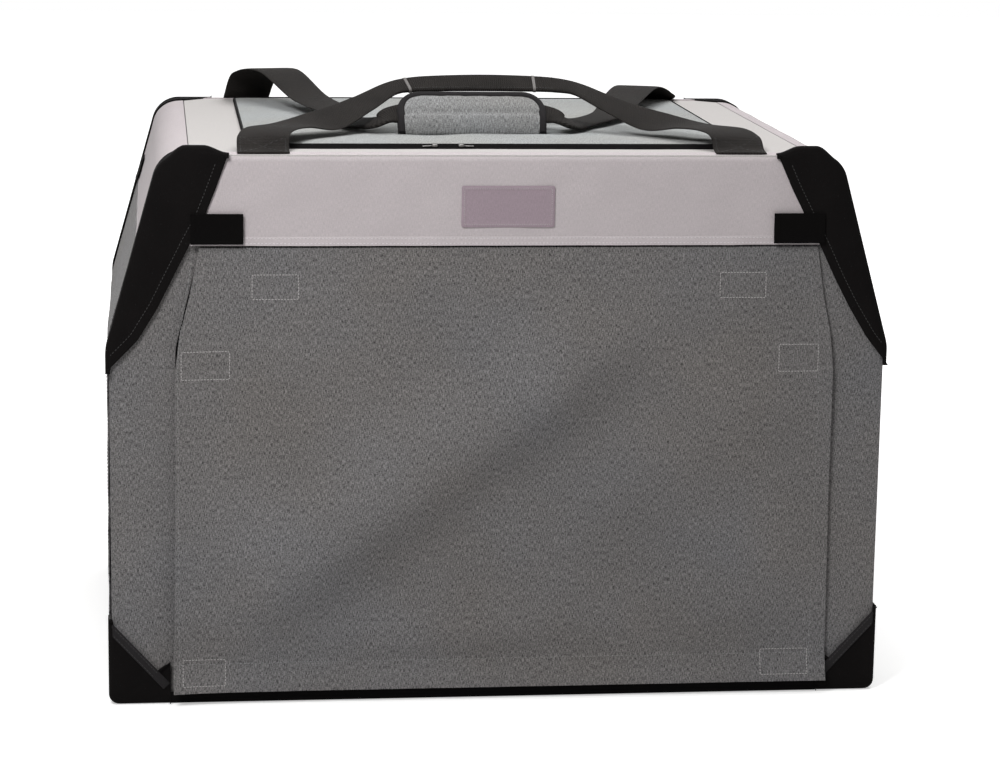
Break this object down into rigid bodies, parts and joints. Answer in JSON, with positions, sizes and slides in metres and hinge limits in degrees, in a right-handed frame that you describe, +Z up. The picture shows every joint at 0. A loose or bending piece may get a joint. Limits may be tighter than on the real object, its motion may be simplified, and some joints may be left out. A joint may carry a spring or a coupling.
{
  "type": "folding soft dog crate",
  "caption": "Soft-sided folding dog crate on a six-sided tube frame, with a front flap and mesh door, top door, end flaps and carrying straps.",
  "frame": {"origin": "middle of the base", "axes": "+Z up, the door side faces -Y, the long side runs along X"},
  "size_m": [0.762, 0.5348, 0.5973],
  "materials": {
    "heather_cloth": "matte",
    "light_cloth": "matte",
    "black_cloth": "matte",
    "webbing": "satin",
    "window_net": "matte",
    "painted_steel": "satin",
    "zinc_steel": "satin",
    "black_plastic": "matte"
  },
  "bodies": {
    "front_frame": {"front_frame_tube": "painted_steel", "front_skin": "heather_cloth", "front_band": "light_cloth", "front_patch": "light_cloth", "front_corner_cover_left": "black_cloth", "front_corner_cover_right": "black_cloth", "front_base_corner_left": "black_cloth", "front_base_corner_right": "black_cloth", "front_base_binding": "black_cloth", "front_door_zip": "black_cloth", "front_rail_bracket_left": "painted_steel", "front_rail_bracket_right": "painted_steel", "front_floor_clip_left": "black_plastic", "front_floor_clip_right": "black_plastic", "left_wall": "heather_cloth", "right_wall": "heather_cloth", "left_wall_band": "light_cloth", "right_wall_band": "light_cloth", "left_window_mesh": "window_net", "right_window_mesh": "window_net", "top_border": "light_cloth"},
    "left_rail_front_half": {"left_rail_front": "painted_steel", "left_elbow_pin": "zinc_steel"},
    "left_rail_rear_half": {"left_rail_rear": "painted_steel"},
    "rear_frame": {"rear_frame_tube": "painted_steel", "rear_skin": "heather_cloth", "rear_band": "light_cloth", "rear_corner_cover_left": "black_cloth", "rear_corner_cover_right": "black_cloth", "rear_base_corner_left": "black_cloth", "rear_base_corner_right": "black_cloth", "rear_base_binding": "black_cloth", "rear_window_mesh": "window_net", "rear_rail_bracket_left": "painted_steel", "rear_rail_bracket_right": "painted_steel", "rear_floor_clip_left": "black_plastic", "rear_floor_clip_right": "black_plastic"},
    "right_rail_front_half": {"right_rail_front": "painted_steel", "right_elbow_pin": "zinc_steel"},
    "right_rail_rear_half": {"right_rail_rear": "painted_steel"},
    "floor_front_leaf": {"floor_board_front": "black_plastic", "floor_hinge_rod": "zinc_steel"},
    "floor_rear_leaf": {"floor_board_rear": "black_plastic"},
    "front_flap_body": {"front_flap": "heather_cloth"},
    "front_door": {"front_door_mesh": "window_net", "front_door_binding": "black_cloth"},
    "zip_pull": {"front_zip_pull": "zinc_steel"},
    "rear_flap_body": {"rear_flap": "heather_cloth"},
    "left_flap_body": {"left_flap": "heather_cloth"},
    "right_flap_body": {"right_flap": "heather_cloth"},
    "rollup_tab_left_body": {"rollup_tab_left": "black_cloth"},
    "rollup_tab_right_body": {"rollup_tab_right": "black_cloth"},
    "left_wall_tab_body": {"left_wall_tab": "black_cloth"},
    "right_wall_tab_body": {"right_wall_tab": "black_cloth"},
    "top_door_body": {"top_door": "heather_cloth"},
    "front_handle": {"front_strap": "webbing"},
    "rear_handle": {"rear_strap": "webbing", "grip_pad": "heather_cloth"},
    "left_lock": {"left_lock_button": "zinc_steel"},
    "right_lock": {"right_lock_button": "zinc_steel"}
  },
  "joints": [
    {"name": "frame_fold", "type": "hinge", "parent": "front_frame", "child": "left_rail_front_half", "pos_m": [-0.298, -0.241, 0.498], "axis": [0, 0, -1], "range_deg": [0, 84], "deforming": ["left_wall", "right_wall", "left_wall_band", "right_wall_band", "left_window_mesh", "right_window_mesh", "left_flap", "right_flap", "left_wall_tab", "right_wall_tab", "top_border", "top_door", "front_strap", "rear_strap", "grip_pad"]},
    {"name": "left_elbow", "type": "hinge", "parent": "left_rail_front_half", "child": "left_rail_rear_half", "pos_m": [-0.298, 0, 0.498], "axis": [0, 0, 1], "range_deg": [0, 168]},
    {"name": "rear_frame_turn", "type": "hinge", "parent": "left_rail_rear_half", "child": "rear_frame", "pos_m": [-0.298, 0.241, 0.498], "axis": [0, 0, -1], "range_deg": [0, 84]},
    {"name": "right_rail_fold", "type": "hinge", "parent": "front_frame", "child": "right_rail_front_half", "pos_m": [0.298, -0.241, 0.498], "axis": [0, 0, 1], "range_deg": [0, 84]},
    {"name": "right_elbow", "type": "hinge", "parent": "right_rail_front_half", "child": "right_rail_rear_half", "pos_m": [0.298, 0, 0.498], "axis": [0, 0, -1], "range_deg": [0, 168]},
    {"name": "floor_front_fold", "type": "hinge", "parent": "front_frame", "child": "floor_front_leaf", "pos_m": [0, -0.241, 0.005], "axis": [1, 0, 0], "range_deg": [0, 84]},
    {"name": "floor_crease", "type": "hinge", "parent": "floor_front_leaf", "child": "floor_rear_leaf", "pos_m": [0, 0, 0.005], "axis": [-1, 0, 0], "range_deg": [0, 168]},
    {"name": "front_flap_swing", "type": "hinge", "parent": "front_frame", "child": "front_flap_body", "pos_m": [0, -0.26395, 0.4505], "axis": [1, 0, 0], "range_deg": [-110, 0]},
    {"name": "front_door_swing", "type": "hinge", "parent": "front_frame", "child": "front_door", "pos_m": [0, -0.26215, 0.445], "axis": [-1, 0, 0], "range_deg": [-85, 0]},
    {"name": "front_zip_slide", "type": "slide", "parent": "front_frame", "child": "zip_pull", "axis": [0, 0, 1], "range_m": [0, 0.22]},
    {"name": "rear_flap_swing", "type": "hinge", "parent": "rear_frame", "child": "rear_flap_body", "pos_m": [0, 0.26395, 0.4505], "axis": [-1, 0, 0], "range_deg": [-110, 0]},
    {"name": "left_flap_swing", "type": "hinge", "parent": "front_frame", "child": "left_flap_body", "pos_m": [-0.35067, 0, 0.4505], "axis": [0, -1, 0], "range_deg": [-100, 0]},
    {"name": "right_flap_swing", "type": "hinge", "parent": "front_frame", "child": "right_flap_body", "pos_m": [0.35067, 0, 0.4505], "axis": [0, 1, 0], "range_deg": [-100, 0]},
    {"name": "rollup_tab_left_swing", "type": "hinge", "parent": "front_frame", "child": "rollup_tab_left_body", "pos_m": [-0.279, -0.26755, 0.4825], "axis": [1, 0, 0], "range_deg": [-150, 0]},
    {"name": "rollup_tab_right_swing", "type": "hinge", "parent": "front_frame", "child": "rollup_tab_right_body", "pos_m": [0.299, -0.26755, 0.4825], "axis": [1, 0, 0], "range_deg": [-150, 0]},
    {"name": "left_wall_tab_swing", "type": "hinge", "parent": "front_frame", "child": "left_wall_tab_body", "pos_m": [-0.34343, 0.19, 0.4825], "axis": [0, -1, 0], "range_deg": [-150, 0]},
    {"name": "right_wall_tab_swing", "type": "hinge", "parent": "front_frame", "child": "right_wall_tab_body", "pos_m": [0.34343, 0.19, 0.4825], "axis": [0, 1, 0], "range_deg": [-150, 0]},
    {"name": "top_door_swing", "type": "hinge", "parent": "rear_frame", "child": "top_door_body", "pos_m": [0, 0.2362, 0.53745], "axis": [-1, 0, 0], "range_deg": [-88, 0]},
    {"name": "front_handle_swing", "type": "hinge", "parent": "front_frame", "child": "front_handle", "pos_m": [0, -0.265, 0.5385], "axis": [1, 0, 0], "range_deg": [0, 200]},
    {"name": "rear_handle_swing", "type": "hinge", "parent": "rear_frame", "child": "rear_handle", "pos_m": [0, 0.265, 0.5385], "axis": [-1, 0, 0], "range_deg": [0, 200]},
    {"name": "left_lock_press", "type": "slide", "parent": "left_rail_front_half", "child": "left_lock", "axis": [0, 0, -1], "range_m": [0, 0.003], "stiffness_N_per_m": 300, "springref_m": -0.002},
    {"name": "right_lock_press", "type": "slide", "parent": "right_rail_front_half", "child": "right_lock", "axis": [0, 0, -1], "range_m": [0, 0.003], "stiffness_N_per_m": 300, "springref_m": -0.002}
  ],
  "couplings": [
    {"joint": "left_elbow", "follows": "frame_fold", "ratio": 2},
    {"joint": "rear_frame_turn", "follows": "frame_fold", "ratio": 1},
    {"joint": "right_rail_fold", "follows": "frame_fold", "ratio": 1},
    {"joint": "right_elbow", "follows": "frame_fold", "ratio": 2},
    {"joint": "floor_front_fold", "follows": "frame_fold", "ratio": 1},
    {"joint": "floor_crease", "follows": "frame_fold", "ratio": 2}
  ]
}
